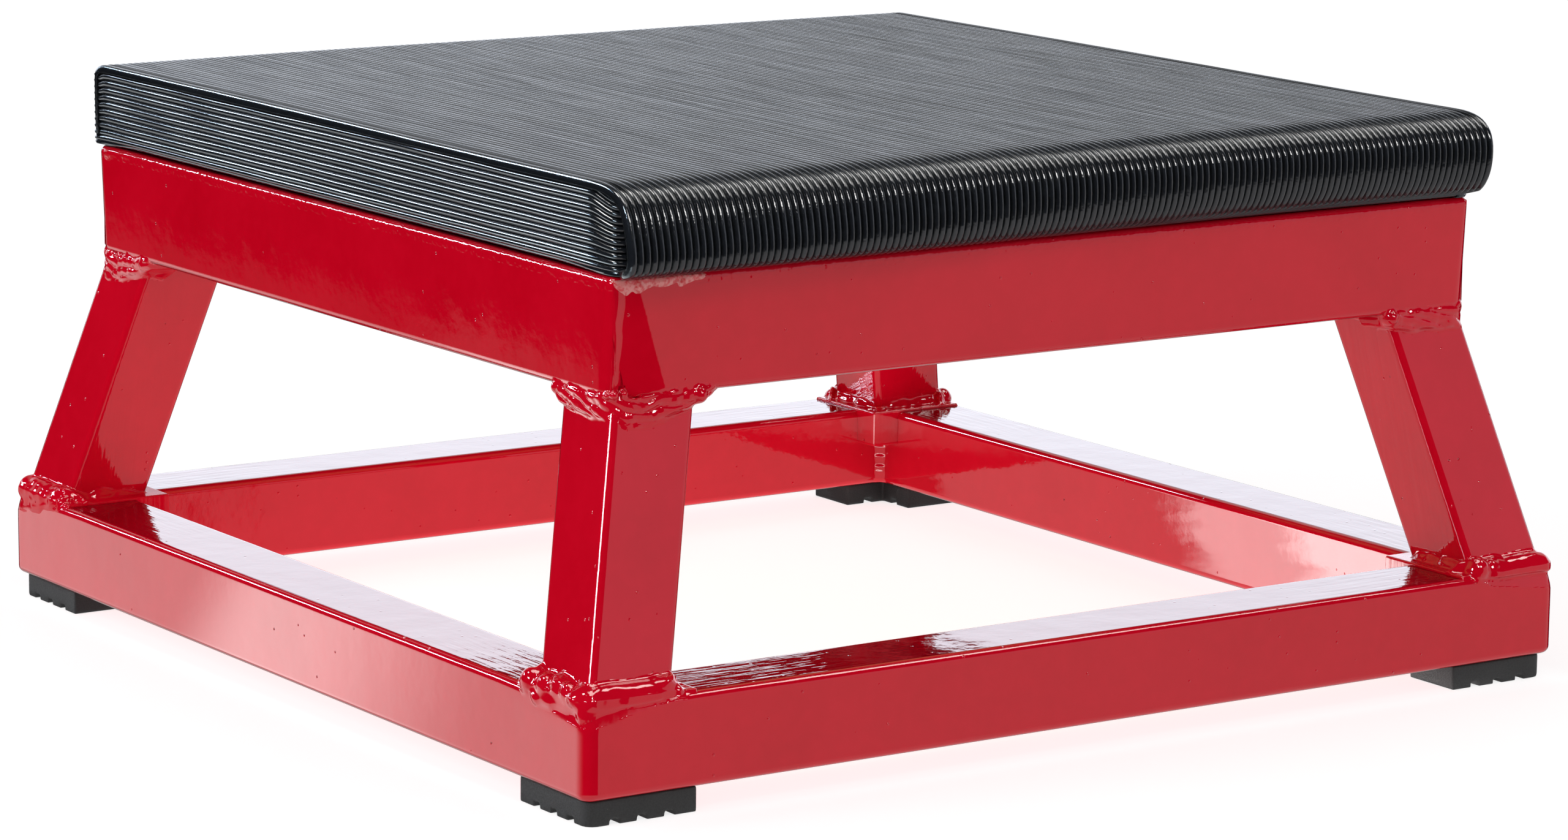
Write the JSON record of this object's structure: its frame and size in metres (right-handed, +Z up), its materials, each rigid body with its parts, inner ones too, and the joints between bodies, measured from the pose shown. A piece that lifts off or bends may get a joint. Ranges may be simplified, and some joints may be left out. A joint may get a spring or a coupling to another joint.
{
  "type": "low plyometric jump platform",
  "caption": "Low square jump platform: welded red square-tube frame with splayed legs, L-shaped rubber feet and a padded deck wrapped in ribbed black rubber.",
  "frame": {"origin": "centre of the base footprint, at floor level", "axes": "+Z up; -Y is the front, one of the two sides where the deck's rubber is rolled over the edge and its ribs run up and down; the ribs on top run along Y"},
  "size_m": [0.4126, 0.4126, 0.2048],
  "materials": {
    "red_paint": "gloss powder coat with slight orange peel",
    "ribbed_rubber": "semi-gloss, fine parallel ribs",
    "foot_rubber": "matte moulded",
    "zinc_steel": "zinc plated",
    "plywood": "bare plywood",
    "grey_foam": "closed-cell foam"
  },
  "bodies": {
    "root": {"base_rail_front": "red_paint", "base_rail_right": "red_paint", "base_rail_back": "red_paint", "base_rail_left": "red_paint", "top_rail_front": "red_paint", "top_rail_right": "red_paint", "top_rail_back": "red_paint", "top_rail_left": "red_paint", "leg_front_left": "red_paint", "leg_front_right": "red_paint", "leg_back_right": "red_paint", "leg_back_left": "red_paint", "leg_foot_weld_front_left": "red_paint", "leg_foot_weld_front_right": "red_paint", "leg_foot_weld_back_right": "red_paint", "leg_foot_weld_back_left": "red_paint", "leg_head_weld_front_left": "red_paint", "leg_head_weld_front_right": "red_paint", "leg_head_weld_back_right": "red_paint", "leg_head_weld_back_left": "red_paint", "base_mitre_weld_front_left": "red_paint", "base_mitre_weld_front_right": "red_paint", "base_mitre_weld_back_right": "red_paint", "base_mitre_weld_back_left": "red_paint", "top_mitre_weld_front_left": "red_paint", "top_mitre_weld_front_right": "red_paint", "top_mitre_weld_back_right": "red_paint", "top_mitre_weld_back_left": "red_paint", "corner_tab_front_left": "red_paint", "corner_tab_front_right": "red_paint", "corner_tab_back_right": "red_paint", "corner_tab_back_left": "red_paint", "foot_front_left": "foot_rubber", "foot_front_right": "foot_rubber", "foot_back_right": "foot_rubber", "foot_back_left": "foot_rubber", "foot_screw_front_left_a": "zinc_steel", "foot_screw_front_left_b": "zinc_steel", "foot_screw_front_right_a": "zinc_steel", "foot_screw_front_right_b": "zinc_steel", "foot_screw_back_right_a": "zinc_steel", "foot_screw_back_right_b": "zinc_steel", "foot_screw_back_left_a": "zinc_steel", "foot_screw_back_left_b": "zinc_steel", "deck_screw_front_left": "zinc_steel", "deck_screw_front_right": "zinc_steel", "deck_screw_back_right": "zinc_steel", "deck_screw_back_left": "zinc_steel", "deck_board": "plywood", "deck_underlay": "grey_foam", "rubber_cover": "ribbed_rubber"}
  },
  "joints": []
}
